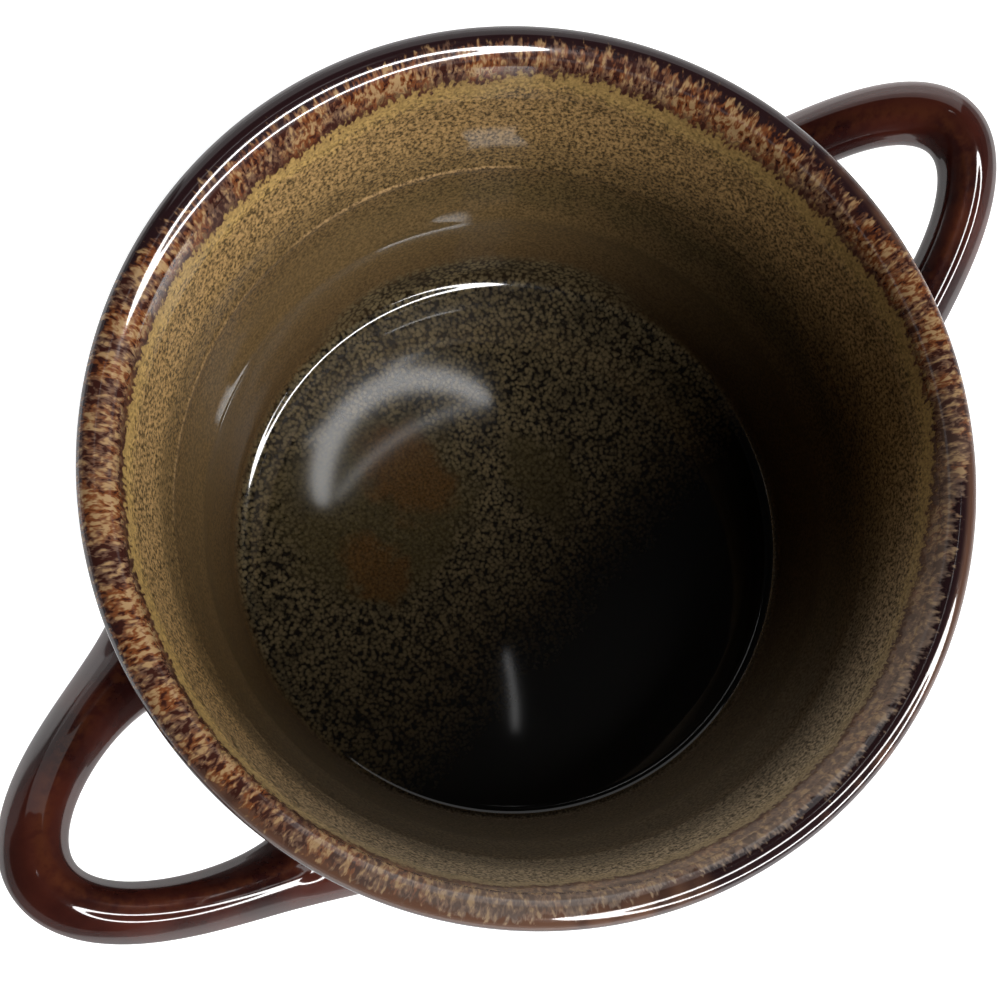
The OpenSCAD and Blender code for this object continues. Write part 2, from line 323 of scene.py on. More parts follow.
class Outline:
    """The bowl's glazed outline, in millimetres, worked out as in the part's source.

    The lip is a half circle between two parallel wall lines. A corner circle of radius r that touches
    a wall line has its centre at (n.c + out - r + sin(slope) z) / cos(slope) from the axis, where n is
    the wall's normal and c the lip's centre.
    """

    def __init__(self, sizes, glaze):
        (self.rim_d, self.bowl_h, self.wall_t, floor_t, self.corner_r, self.shoulder_r, self.dish,
         foot_inset, self.foot_w, self.foot_h, self.bevel) = in_mm(
            sizes, "rim_d", "bowl_h", "wall_t", "floor_t", "corner_r", "shoulder_r", "dish_depth",
            "foot_inset", "foot_w", "foot_h", "foot_bevel")
        self.slope = sizes.wall_slope
        self.lip_r = self.wall_t / 2
        self.lip_c = np.array([self.rim_d / 2 - self.lip_r, self.bowl_h - self.lip_r])
        self.normal = np.array([math.cos(self.slope), -math.sin(self.slope)])
        self.floor_z = self.foot_h + floor_t
        shoulder_z = self.foot_h + self.shoulder_r
        self.shoulder_c = np.array([self.centre_r(self.lip_r, self.shoulder_r, shoulder_z), shoulder_z])
        corner_z = self.floor_z + self.corner_r
        self.corner_c = np.array([self.centre_r(-self.lip_r, self.corner_r, corner_z), corner_z])
        self.foot_r = self.shoulder_c[0] + self.shoulder_r - foot_inset
        self.glaze_line = glaze.glaze_line
        self.lip_join = glaze.lip_join
        self.band = glaze.rim_band / MM
        self.join_way = self.lip_r * (self.lip_join - math.pi / 2)

    def centre_r(self, out, radius, z):
        """Distance from the axis of the centre of a circle that touches a wall line."""
        reach = self.normal @ self.lip_c + out - radius + math.sin(self.slope) * z
        return reach / math.cos(self.slope)

    def inside_at(self, drop):
        """The point of the inside wall line at a depth under the rim."""
        z = self.bowl_h - drop
        return np.array([self.centre_r(-self.lip_r, 0, z), z])

    def outside(self, step):
        """From the glaze line round the shoulder, up the wall and over the lip to its join."""
        up = arc(self.shoulder_c, self.shoulder_r, self.glaze_line - math.pi / 2, -self.slope, step)
        over = arc(self.lip_c, self.lip_r, -self.slope, self.lip_join, step / 4)
        return joined(up, line(up[-1], over[0], step), over)

    def rim(self, step):
        """From the join on the lip down inside to the end of the streaked coat."""
        over = arc(self.lip_c, self.lip_r, self.lip_join, math.pi - self.slope, step)
        return joined(over, line(over[-1], self.inside_at(self.band), step))

    def inside(self, step):
        """From the end of the streaked coat down the wall, round the corner and to the axis.
        The floor is a shallow dish: its depth falls with the square of the radius."""
        corner = arc(self.corner_c, self.corner_r, -self.slope, -math.pi / 2, step / 2)
        wall = line(self.inside_at(self.band), corner[0], step)
        r = line(corner[-1], np.array([0.0, self.floor_z]), step)[:, 0]
        dish = self.dish * (1 - (r / corner[-1, 0]) ** 2)
        return joined(wall, corner, np.stack([r, self.floor_z - dish], 1))

    def clay(self, step, liner, outer):
        """The clay's whole outline, closed on the axis: the outside and the inside, each sunk by its coat,
        and the turned foot ring with its bevels under the shoulder."""
        sunk_out = self.outside(step)
        sunk_out = sunk_out - outer * normals(sunk_out)
        inside = joined(self.rim(step), self.inside(step))
        inside = inside - liner * normals(inside)
        inside[-1, 0] = 0.0
        lowest = -math.pi / 2
        under = arc(self.shoulder_c, self.shoulder_r - outer, lowest, lowest + self.glaze_line, step)
        low, bevel = self.foot_h + outer, self.bevel
        r_out, r_in = self.foot_r, self.foot_r - self.foot_w
        corners = np.array([
            [0.0, low], [r_in, low], [r_in, bevel], [r_in + bevel, 0.0],
            [r_out - bevel, 0.0], [r_out, bevel], [r_out, low], under[0]])
        parts = (1, 2, 3, 2, 3, 2, 2)
        foot = [line(start, end, step / part) for start, end, part in zip(corners, corners[1:], parts)]
        return joined(*foot, under, sunk_out, inside)


def ran(points):
    """The way along a run of points from its first one."""
    steps = np.linalg.norm(np.diff(points, axis=0), axis=1)
    return np.concatenate([[0.0], np.cumsum(steps)])


def arc(centre, radius, start, end, step):
    """Points of a circle's arc from one angle to another, about a step apart."""
    count = max(6, math.ceil(abs(end - start) * radius / step))
    a = np.linspace(start, end, count + 1)
    return centre + radius * np.stack([np.cos(a), np.sin(a)], 1)


def line(start, end, step):
    """Points of a straight line, about a step apart."""
    count = max(2, math.ceil(np.linalg.norm(end - start) / step))
    t = np.linspace(0, 1, count + 1)[:, None]
    return start + (end - start) * t


def joined(*runs):
    """Runs of points put end to end, without the doubled points between them."""
    pairs = zip(runs, runs[1:])
    kept = [run[1:] if np.allclose(run[0], last[-1]) else run for last, run in pairs]
    return np.concatenate([runs[0], *kept])


def normals(points):
    """Unit normals on the left of a run of points, from its central differences."""
    along = np.gradient(points, axis=0)
    left = np.stack([along[:, 1], -along[:, 0]], 1)
    return left / np.linalg.norm(left, axis=1, keepdims=True)


# Meshes


def skin(name, grid, poles=False, sharp_rows=(), values=None):
    """A closed mesh over a grid of points, rows by columns, in millimetres.

    Columns run round and close. Rows close too, or with poles the first and the last row are one point
    each and end in a fan. Rows named sharp keep their faces' shading apart. values holds one number a
    grid point for each attribute."""
    rows, columns = grid.shape[:2]
    index = np.arange(rows * columns).reshape(rows, columns)
    points = grid.reshape(-1, 3)
    keep = np.ones(rows * columns, bool)
    if poles:
        index[0], index[-1] = index[0, 0], index[-1, 0]
        keep.reshape(rows, columns)[[0, -1], 1:] = False
        body = np.arange(rows - 1)
    else:
        body = np.arange(rows)
    after = index[(body + 1) % rows]
    here = index[body]
    quads = np.stack([here, np.roll(here, -1, 1), np.roll(after, -1, 1), after], -1)
    numbers = np.cumsum(keep) - 1
    if poles:
        first = quads[0][:, [0, 2, 3]]
        final = quads[-1][:, [0, 1, 2]]
        quads = quads[1:-1]
    else:
        first = final = np.zeros((0, 3), int)
    loops = np.concatenate([numbers[first].ravel(), numbers[quads].ravel(), numbers[final].ravel()])
    counts = np.concatenate([np.full(len(first), 3), np.full(quads[..., 0].size, 4), np.full(len(final), 3)])
    mesh = bpy.data.meshes.new(name)
    mesh.vertices.add(int(keep.sum()))
    mesh.vertices.foreach_set("co", (points[keep] * MM).astype(np.float32).ravel())
    mesh.loops.add(len(loops))
    mesh.loops.foreach_set("vertex_index", loops.astype(np.int32))
    mesh.polygons.add(len(counts))
    mesh.polygons.foreach_set("loop_start", np.concatenate([[0], np.cumsum(counts)[:-1]]).astype(np.int32))
    mesh.polygons.foreach_set("use_smooth", np.ones(len(counts), bool))
    for key, value in (values or {}).items():
        layer = mesh.attributes.new(key, "FLOAT", "POINT")
        layer.data.foreach_set("value", value.reshape(-1)[keep].astype(np.float32))
    mesh.update(calc_edges=True)
    if len(sharp_rows):
        row_of = np.repeat(np.arange(rows), columns)[keep]
        ends = np.zeros(len(mesh.edges) * 2, np.int32)
        mesh.edges.foreach_get("vertices", ends)
        pair = row_of[ends.reshape(-1, 2)]
        sharp = (pair[:, 0] == pair[:, 1]) & np.isin(pair[:, 0], sharp_rows)
        layer = mesh.attributes.new("sharp_edge", "BOOLEAN", "EDGE")
        layer.data.foreach_set("value", sharp)
    if mesh.validate():
        raise RuntimeError(f"the mesh of {name} was not sound")
    piece = bpy.data.objects.new(name, mesh)
    bpy.context.scene.collection.objects.link(piece)
    return piece


def turned(profile, lift, columns):
    """A surface of revolution: the profile (r, z) is carried round the axis, after it is moved along its
    normal by lift(r, z, angle), an array of rows by columns."""
    a = np.linspace(0, 2 * math.pi, columns, endpoint=False)
    r, z = profile[:, :1], profile[:, 1:]
    out = normals(profile)
    up = lift(r, z, a[None, :])
    reach = r + out[:, :1] * up
    return np.stack([reach * np.cos(a), reach * np.sin(a), z + out[:, 1:] * up], -1)


def hump(value, middle, width):
    """A smooth bump of height one round a middle. It has fallen to 0.3 at both ends of its width."""
    return np.exp(-((2.2 * (value - middle) / width) ** 2))


def ramp(value, low, high):
    """A smooth step from none at low to all at high."""
    t = np.clip((value - low) / (high - low), 0, 1)
    return t * t * (3 - 2 * t)


# Shading


class Term:
    """A socket in a material. Its operators add Math nodes, so that a formula reads as Python."""

    def __init__(self, paint, socket):
        self.paint, self.socket = paint, socket

    def _math(self, operation, first, second=0.0):
        return self.paint.node("ShaderNodeMath", {"operation": operation}, {0: first, 1: second})

    def __add__(self, other):
        return self._math("ADD", self, other)

    def __sub__(self, other):
        return self._math("SUBTRACT", self, other)

    def __rsub__(self, other):
        return self._math("SUBTRACT", other, self)

    def __mul__(self, other):
        return self._math("MULTIPLY", self, other)

    def __truediv__(self, other):
        return self._math("DIVIDE", self, other)

    def __rtruediv__(self, other):
        return self._math("DIVIDE", other, self)

    def __pow__(self, other):
        return self._math("POWER", self, other)

    def __abs__(self):
        return self._math("ABSOLUTE", self)

    def least(self, other):
        return self._math("MINIMUM", self, other)

    def most(self, other):
        return self._math("MAXIMUM", self, other)

    __radd__, __rmul__ = __add__, __mul__


class Paint:
    """The nodes of a material or of the world, under construction."""

    def __init__(self, holder):
        self.holder = holder
        holder.use_nodes = True
        self.tree = holder.node_tree
        self.tree.nodes.clear()

    def node(self, kind, settings=None, inputs=None, output=0):
        """Adds a node of a type: its settings are set first, then the values or links of its sockets.
        A ramp's stops are (position, colour) pairs. Returns the named output."""
        node = self.tree.nodes.new(kind)
        for key, value in (settings or {}).items():
            if key == "stops":
                self._stops(node.color_ramp, value)
            else:
                setattr(node, key, value)
        for key, value in (inputs or {}).items():
            socket = node.inputs[key]
            if isinstance(value, Term):
                self.tree.links.new(value.socket, socket)
            elif socket.type == "RGBA" and len(value) == 3:
                socket.default_value = (*value, 1)
            else:
                socket.default_value = value
        return Term(self, node.outputs[output]) if node.outputs else None

    @staticmethod
    def _stops(band, stops):
        while len(band.elements) > 1:
            band.elements.remove(band.elements[-1])
        for number, (place, shade) in enumerate(stops):
            stop = band.elements[0] if number == 0 else band.elements.new(place)
            stop.position = place
            stop.color = (*shade, 1)

    def place(self):
        """Object coordinates in millimetres, as a vector."""
        where = self.node("ShaderNodeTexCoord", output="Object")
        return self.node("ShaderNodeVectorMath", {"operation": "SCALE"}, {0: where, "Scale": 1 / MM})

    def attribute(self, name):
        """A number kept on the mesh."""
        return self.node("ShaderNodeAttribute", {"attribute_name": name}, output="Fac")

    def split(self, vector):
        """The three parts of a vector."""
        first = self.node("ShaderNodeSeparateXYZ", inputs={0: vector})
        outputs = first.socket.node.outputs
        return [Term(self, socket) for socket in outputs]

    def vector(self, x, y, z):
        """A vector from its three parts."""
        return self.node("ShaderNodeCombineXYZ", inputs={0: x, 1: y, 2: z})

    def noise(self, where, pitch=1.0, detail=2.0, roughness=0.5, distortion=0.0):
        """Noise in a vector's space, from none to all, with features about a pitch apart."""
        return self.node(
            "ShaderNodeTexNoise",
            inputs={"Vector": where, "Scale": 1 / pitch, "Detail": detail, "Roughness": roughness,
                    "Distortion": distortion},
        )

    def cells(self, where, pitch):
        """The distance from the nearest of many scattered points, in shares of their pitch."""
        return self.node("ShaderNodeTexVoronoi", {"feature": "F1"}, {"Vector": where, "Scale": 1 / pitch})

    def step(self, value, low, high, start=0.0, end=1.0):
        """A smooth step of a value between two limits."""
        return self.node(
            "ShaderNodeMapRange", {"interpolation_type": "SMOOTHSTEP"},
            {"Value": value, "From Min": low, "From Max": high, "To Min": start, "To Max": end},
        )

    def mix(self, factor, first, second):
        """A blend of two colours."""
        return self.node("ShaderNodeMix", {"data_type": "RGBA"}, {0: factor, 6: first, 7: second}, 2)

    def ramp(self, value, stops, span):
        """A run of colours over a value from none to all. The stops' places are divided by the span."""
        return self.node(
            "ShaderNodeValToRGB", {"stops": [(place / span, shade) for place, shade in stops]}, {0: value})

    def scaled(self, shade, factor):
        """A colour made lighter or darker by a factor."""
        return self.node("ShaderNodeVectorMath", {"operation": "SCALE"}, {0: shade, "Scale": factor})

    def bump(self, height, distance):
        """A normal bent by a height, where distance is the height of all, in metres."""
        return self.node(
            "ShaderNodeBump", inputs={"Distance": distance, "Height": height}, output="Normal")

    def finish(self, **sockets):
        """Ends the material in one glossy or matt surface. Spaces in a socket's name are underscores."""
        named = {key.replace("_", " "): value for key, value in sockets.items()}
        surface = self.node("ShaderNodeBsdfPrincipled", inputs=named)
        self.node("ShaderNodeOutputMaterial", inputs={"Surface": surface})
        return self.holder


class Glaze(Paint):
    """The nodes of a glaze on the bowl, with what they start from: the place, the depth under the rim,
    the way from the lip's top, which is kept on the mesh, and the direction from the axis."""

    def __init__(self, name, sizes, glaze, shades):
        super().__init__(bpy.data.materials.new(name))
        self.sizes, self.glaze, self.shades = sizes, glaze, shades
        self.where = self.place()
        self.x, self.y, self.z = self.split(self.where)
        self.drop = sizes.bowl_h / MM - self.z
        self.way = self.attribute("way")
        level = self.vector(self.x, self.y, 0.0)
        level = self.node("ShaderNodeVectorMath", {"operation": "NORMALIZE"}, {0: level})
        self.cosine, self.sine, _ = self.split(level)

    def facing(self, turn):
        """One on the side of the bowl at an azimuth in degrees, and minus one on the far side."""
        return self.cosine * math.cos(math.radians(turn)) + self.sine * math.sin(math.radians(turn))

    def sides(self, places):
        """Adds up the changes that belong to single sides of the bowl."""
        total = 0.0
        for turn, full, none, amount in places:
            none, full = math.cos(math.radians(none)), math.cos(math.radians(full))
            total = self.step(self.facing(turn), none, full) * amount + total
        return total

    def spots(self, x, y, places):
        """One inside ellipses on the floor, or their share, which fades to none over their edges."""
        most = 0.0
        for middle_x, middle_y, radius_x, radius_y, amount in places:
            gap = ((x - middle_x) / radius_x) ** 2 + ((y - middle_y) / radius_y) ** 2
            most = ((1 - self.step(gap, 0.4, 1.35)) * amount).most(most)
        return most

    def ring(self, depth, places):
        """The windows of a throwing ring that are glossy, at the ring's depth under the rim."""
        near = 1 - self.step(abs(self.drop - depth / MM), RING_FULL, RING_NONE)
        return near * self.sides(places)


def streaked(paint):
    """The glaze that runs over the lip, by the way from the lip's top. The dark lip comes first, brown on
    one side, and brown as a painted light on its outer side towards the key lamp, then streaks, whose pale
    teeth hang between darker ones and end in a ragged row of dabs. On the near side a painted reflection
    veils the streaks.
    Both ends wander with the side of the bowl and with the teeth. Gives the lip's colour, the streaks'
    colour, the share past the lip's end and the way past the streaks' end."""
    way, shades = paint.way, paint.shades
    rim_r = paint.sizes.rim_d / MM / 2

    def along(width, length, seed=0.0):
        """Streak space: features are as wide round the rim and as long down the wall as given."""
        round_rim = rim_r / width
        return paint.vector(paint.cosine * round_rim, paint.sine * round_rim, way * (1 / length) + seed)

    lip_way, streak_way = in_mm(paint.glaze, "lip_way", "streak_way")
    tooth = paint.noise(along(*TOOTH), detail=2.0, roughness=0.6, distortion=0.5)
    dab = paint.noise(along(*DAB, seed=4.0), detail=1.5)
    tuft = paint.noise(along(*TUFT, seed=7.0), detail=1.5)
    hang = (tuft - 0.5) * TUFT_HANG
    lip_end = paint.sides(LIP_PLACES) + hang + lip_way
    past_lip = way - lip_end + (tooth - 0.5) * LIP_TOOTH + (dab - 0.5) * LIP_DAB
    streak_end = paint.sides(STREAK_PLACES) + hang + streak_way
    past_streaks = way - streak_end + (dab - 0.5) * END_DAB + (tooth - 0.5) * END_TOOTH

    near_side = paint.step(paint.facing(NEAR_SIDE), 0.2, 0.9)
    warmth = paint.step(tuft + (dab - 0.5) * 0.5 - near_side * 0.12, 0.38, 0.60)
    level = tooth + (dab - 0.5) * 0.6 + (tuft - 0.5) * 0.35 + paint.step(way - lip_end, 0.0, 3.5, -0.07, 0.0)
    middle = paint.mix(warmth, shades.mauve, shades.rust)
    streaks = paint.mix(paint.step(level, 0.34, 0.48), shades.maroon, middle)
    streaks = paint.mix(paint.step(level, 0.48, 0.66), streaks, shades.cream)
    # Painted reflection: a pale veil over the streaks on the near side
    streaks = paint.mix(near_side * 0.4, streaks, shades.streak_reflection_veil)
    streaks = paint.mix(paint.step(past_streaks, -1.8, -0.5) * 0.7, streaks, shades.maroon)

    # The lip turns brown on one side
    brown_lip = paint.step(paint.facing(BROWN_LIP_SIDE) + (tuft - 0.5) * 0.4, 0.72, 0.95)
    brown_lip = brown_lip * paint.step(way, -3.4, -1.6)
    # Painted light: the outer lip is made brown where the key lamp lights it
    painted_lit_lip = paint.step(paint.facing(LIT_LIP_SIDE) + (tuft - 0.5) * 0.8, 0.6, 0.9)
    painted_lit_lip = painted_lit_lip * paint.step(way, 0.4, -0.6)
    lip = paint.mix(brown_lip.most(painted_lit_lip * 0.7) * 0.9, shades.lip, shades.lip_brown_and_lit)
    past_lip = paint.step(past_lip, -0.5, 0.6) * paint.step(way, -4.4, -3.4)
    return lip, streaks, past_lip, past_streaks


def wall_shade(paint, past_streaks):
    """The wall's glaze under the streaks: the ochre line, the flecked tan band down to the ridge line, and
    the olive and umber wall below it. Below the ochre line its colour follows the depth under the rim. The
    flecks make it lighter and darker by the same share, so that they leave its mean colour. Gives the
    colour and the flecks' noise."""
    drop, shades = paint.drop, paint.shades
    fleck, ochre_w = in_mm(paint.glaze, "fleck", "ochre_w")
    grain = paint.noise(paint.where, fleck, detail=2.0, roughness=0.55)
    uneven = paint.noise(paint.where, WALL_PATCH, detail=2.5) - 0.5
    past_ochre = past_streaks - ochre_w + uneven * 3.0
    ground = paint.ramp((drop + uneven * 5.0) / WALL_DEPTH, [
        (TAN_TO, shades.tan), (OLIVE_FROM, shades.olive), (OLIVE_TO, shades.olive),
        (UMBER_FROM, shades.umber)], WALL_DEPTH)
    ground = paint.mix(paint.step(past_ochre, -1.4, 1.6), shades.ochre, ground)
    thick = paint.step(paint.facing(THICK_SIDE), 0.2, 1.0)
    ground = paint.mix(thick * paint.step(drop, 12.0, 27.0) * 0.6, ground, shades.umber)
    # Painted reflection: a greyish veil over the wall on one side
    ground = paint.mix(paint.step(paint.facing(WALL_VEIL_SIDE), 0.1, 0.9) * 0.7, ground, shades.wall_reflection_veil)
    # Painted shade: the side that the key lamp leaves in shade is darkened towards umber, and its dark
    # blotches show only there
    right = paint.step(paint.facing(PAINTED_SHADE_SIDE), 0.2, 0.95)
    ground = paint.mix(right * 0.35, ground, shades.umber)
    blotch = paint.step(abs(drop + uneven * 14.0 - BLOTCH_DROP), 6.0, 1.0) * right
    ground = paint.mix(blotch * 0.4, ground, shades.floor_olive)
    # Painted shade: deeper down on the shaded side the wall goes towards near black
    shaded = paint.step(paint.facing(SHADED_SIDE), 0.3, 0.95)
    ground = paint.mix(shaded * paint.step(drop + uneven * 8.0, 14.0, 32.0) * 0.5, ground, shades.floor_painted_shadow)

    wander = paint.facing(math.degrees(RIDGE_TURN)) * RIDGE_WANDER
    ridge = drop - wander - paint.sizes.ridge_drop / MM
    # Painted highlight: the ridge line is made pale in the windows where the lamp shines on it
    pale = paint.step(abs(ridge + 0.2), 0.45, 0.1) * paint.sides(RIDGE_HIGHLIGHT_PLACES)
    ground = paint.mix(pale, ground, shades.cream)
    # Painted shade: a darker band just under the ridge line
    under = paint.step(ridge, -0.6, 0.4) * paint.step(ridge, 7.0, 1.0)
    ground = paint.mix(under * 0.3, ground, shades.umber)
    band = 1 - paint.step(drop + uneven * 10.0 - right * 7.0, 17.0, 36.0)
    contrast = paint.step(past_ochre, -2.4, 0.8, 0.3, 1.0) * (band * 0.42 + 0.3)
    return paint.scaled(ground, paint.step(grain, 0.28, 0.72, -1.1, 1.1) * contrast + 1.0), grain


def rim_material(name, sizes, glaze, shades):
    """The glaze of the rim: the dark lip, the streaks and the ochre line."""
    paint = Glaze(name, sizes, glaze, shades)
    lip, streaks, past_lip, past_streaks = streaked(paint)
    wall, _ = wall_shade(paint, past_streaks)
    shade = paint.mix(paint.step(past_streaks, -0.5, 0.6), streaks, wall)
    shade = paint.mix(past_lip, lip, shade)
    return paint.finish(
        Base_Color=shade, Roughness=paint.step(paint.way, 0.0, 7.0, 0.15, 0.32), IOR=GLAZE_IOR,
        Specular_IOR_Level=0.15,
        Normal=paint.bump(paint.noise(paint.where, RIM_RIPPLE, detail=2.0), RIM_BUMP),
        Coat_Weight=1 - paint.step(paint.way, 3.4, 7.0) * 0.95, Coat_Roughness=0.03,
    )


def floor_shade(paint, grain, crystal):
    """The floor: near black under a net of pale flecks, which fades to a fine olive mottle round brown
    pools, and a painted shadow, near black, on the side that the wall shades from the key lamp."""
    x, y, shades = paint.x, paint.y, paint.shades
    broad = paint.noise(paint.where, FLOOR_CLOUD, detail=2.0)
    bent = paint.noise(paint.where, FLOOR_BEND, detail=2.0)
    across, along = x + (bent - 0.5) * 11.0, y + (broad - 0.5) * 15.0
    brown = paint.spots(across, along, POOLS)
    olive = paint.spots(across, along, MOTTLES)
    strong = paint.step(bent, 0.3, 0.6, 0.6, 1.0)
    net = paint.mix(paint.step(crystal, 0.86, 0.16) * strong, shades.floor, shades.floor_fleck)
    mottle = paint.scaled(paint.mix(brown * 0.9, shades.floor_olive, shades.pool), grain * 2.6 - 0.3)
    bottom = paint.mix((olive * 0.75).most(brown * 0.9), net, mottle)
    # Painted shadow: the wall's shadow on the floor, near black
    deep = paint.step(y * -0.99 + x * 0.12 + (broad - 0.5) * 12.0, 3.0, 24.0)
    return paint.mix(deep * 0.95, bottom, shades.floor_painted_shadow)


def liner_material(name, sizes, glaze, shades):
    """The glaze of the wall and the floor. On the far side the floor's flecks climb a little up the wall.
    Only the floor and the windows of the throwing rings are glossy."""
    paint = Glaze(name, sizes, glaze, shades)
    _, _, _, past_streaks = streaked(paint)
    wall, grain = wall_shade(paint, past_streaks)
    crystal = paint.cells(paint.where, glaze.floor_fleck / MM)
    crystal = crystal + (paint.noise(paint.where, CRYSTAL_BEND, detail=2.0) - 0.5) * 1.1
    over_floor = paint.z - (sizes.foot_h + sizes.floor_t) / MM
    low = 1 - paint.step(over_floor + (grain - 0.5) * 1.4, 0.9, 2.6)
    far_side = paint.step(paint.facing(FAR_SIDE), 0.7, 0.96)
    climb = 1 - paint.step(over_floor + (crystal - 0.5) * 2.0 - far_side * FLECK_CLIMB, 0.9, 4.0)
    shade = paint.mix(low.most(climb * far_side * 0.85), wall, floor_shade(paint, grain, crystal))
    rings = paint.ring(sizes.ring_drop, RING_PLACES).most(paint.ring(sizes.high_ring_drop, HIGH_RING_PLACES))
    return paint.finish(
        Base_Color=shade, Roughness=0.45 - low * 0.25, IOR=GLAZE_IOR, Specular_IOR_Level=0.05,
        Normal=paint.bump(grain * (1 - low), LINER_BUMP),
        Coat_Weight=rings.most(low) * 0.97 + 0.03, Coat_Roughness=0.045,
    )


def dark_clouds(paint, where, shades):
    """The dark glaze: red-brown, and deeper in soft clouds. Gives its colour, clouds and fine grain."""
    x, y, z = paint.split(where)
    cloud = paint.noise(paint.vector(x, y, z * 0.6), DARK_CLOUD, detail=1.5)
    fine = paint.noise(where, DARK_GRAIN, detail=2.0, roughness=0.6)
    thin = paint.step(cloud + (fine - 0.5) * 0.15, 0.32, 0.66)
    return paint.mix(thin, shades.outside_deep, shades.outside), cloud, fine


def dark_finish(paint, where, shade, fine):
    """Ends a dark glaze. Its gloss falls where it is seen edge on."""
    edge = paint.node("ShaderNodeLayerWeight", inputs={"Blend": 0.5}, output="Facing")
    return paint.finish(
        Base_Color=shade, Roughness=fine * 0.06 + 0.14, IOR=GLAZE_IOR, Specular_IOR_Level=0.05,
        Normal=paint.bump(paint.noise(where, DARK_RIPPLE, detail=1.0), DARK_BUMP),
        Coat_Weight=0.8 - paint.step(edge, 0.42, 0.8) * 0.7, Coat_Roughness=0.03,
    )


def outside_material(name, sizes, glaze, shades):
    """The dark glaze of the wall, which ends on the lip in the lip's colour and the first streaks."""
    paint = Glaze(name, sizes, glaze, shades)
    shade, _, fine = dark_clouds(paint, paint.where, shades)
    lip, streaks, past_lip, _ = streaked(paint)
    shade = paint.mix(paint.step(paint.way, -4.6, -2.6), shade, lip)
    return dark_finish(paint, paint.where, paint.mix(past_lip, shade, streaks), fine)


def handle_material(name, shades):
    """The dark glaze of the handles, which breaks thin and amber along the crest kept on the mesh."""
    paint = Paint(bpy.data.materials.new(name))
    where = paint.place()
    shade, cloud, fine = dark_clouds(paint, where, shades)
    thin = paint.attribute("crest") * paint.step(fine + cloud * 0.6, 0.62, 0.95)
    return dark_finish(paint, where, paint.mix(thin * 0.12, shade, shades.amber), fine)


def clay_material(name, ground, grit):
    """Fired stoneware: matt, with a fine grain, iron specks and soft turning marks."""
    paint = Paint(bpy.data.materials.new(name))
    where = paint.place()
    x, y, z = paint.split(where)
    grain = paint.noise(where, CLAY_GRAIN, detail=3.0, roughness=0.7)
    cloud = paint.noise(where, CLAY_CLOUD, detail=2.0)
    speck = paint.step(paint.noise(where, CLAY_SPECK, detail=1.0), 0.66, 0.74)
    radius = (x * x + y * y) ** 0.5
    shade = paint.mix(paint.step(cloud, 0.3, 0.7) * 0.35, ground, [0.62 * part for part in ground])
    shade = paint.mix(speck * 0.8, shade, grit)
    groove = paint.noise(paint.vector(radius, z, cloud), CLAY_GROOVE, detail=2.0)
    return paint.finish(
        Base_Color=shade, Roughness=grain * 0.15 + 0.68, IOR=GLAZE_IOR,
        Normal=paint.bump(grain * 0.6 + groove * 0.4, CLAY_BUMP),
    )


# Pieces


def waves(angles, table):
    """Waves round a circle, added up: height times the sine of count times the angle plus the phase."""
    return sum(height * np.sin(count * angles + phase) for height, count, phase in table)


def inside_relief(sizes, glaze, outline):
    """The relief of the inside, in millimetres: the ridge line, a soft throwing ring under it and a fainter
    one above it, fine marks that climb as one spiral, a slight unevenness round the bowl, and the glaze
    that has pooled in the corner. The pool's height grows with the square of the way out over the floor,
    stays through the corner and fades up the wall."""
    ridge, ridge_out, ridge_w, ring_drop, high_drop, ring_out, ring_w, mark, pitch = in_mm(
        sizes, "ridge_drop", "ridge_out", "ridge_w", "ring_drop", "high_ring_drop", "ring_out", "ring_w",
        "throwing_out", "throwing_pitch")
    pool, pool_from, pool_to, pool_up = in_mm(glaze, "glaze_pool", "pool_from", "pool_to", "pool_up")
    corner_z = outline.corner_c[1]

    def lift(r, z, a):
        drop = outline.bowl_h - z - RIDGE_WANDER * np.cos(a - RIDGE_TURN)
        on_wall = ramp(drop, *IN_UNDER_RIM) * ramp(z - outline.floor_z, *OVER_FLOOR)
        height = ridge_out * hump(drop, ridge, ridge_w) + ring_out * hump(drop, ring_drop, ring_w)
        height = height + ring_out / 2 * hump(drop, high_drop, ring_w)
        spiral = mark * np.sin(2 * math.pi * drop / pitch + a)
        out = np.clip((r - pool_from) / (pool_to - pool_from), 0, 1)
        pooled = out**2 * (1 - ramp(z, corner_z, corner_z + pool_up))
        return on_wall * (height + spiral + waves(a, WALL_WAVES)) + pool * pooled

    return lift


def outside_relief(sizes, outline):
    """The relief of the outside, in millimetres: one spiral of throwing marks between lip and shoulder."""
    mark, pitch = in_mm(sizes, "throwing_out", "throwing_pitch")

    def lift(r, z, a):
        on_wall = ramp(z - outline.foot_h, *OVER_FOOT) * ramp(outline.bowl_h - z, *OUT_UNDER_RIM)
        return on_wall * mark * (np.sin(2 * math.pi * z / pitch - a) - 1)

    return lift


def turned_relief(sizes, outline, outer):
    """The relief under the bowl, in millimetres: one spiral groove inside the foot ring."""
    mark, pitch = in_mm(sizes, "turning_out", "turning_pitch")

    def lift(r, z, a):
        under = (z < outline.foot_h + outer + 0.01) & (z > outline.foot_h)
        groove = mark * (np.sin(2 * math.pi * r / pitch + a) - 1) * ramp(r, *OFF_AXIS)
        return groove * under * ramp(outline.foot_r - outline.foot_w - r, *SHORT_OF_FOOT)

    return lift


def flat(r, z, a):
    """No relief."""
    return np.zeros((len(r), a.shape[1]))


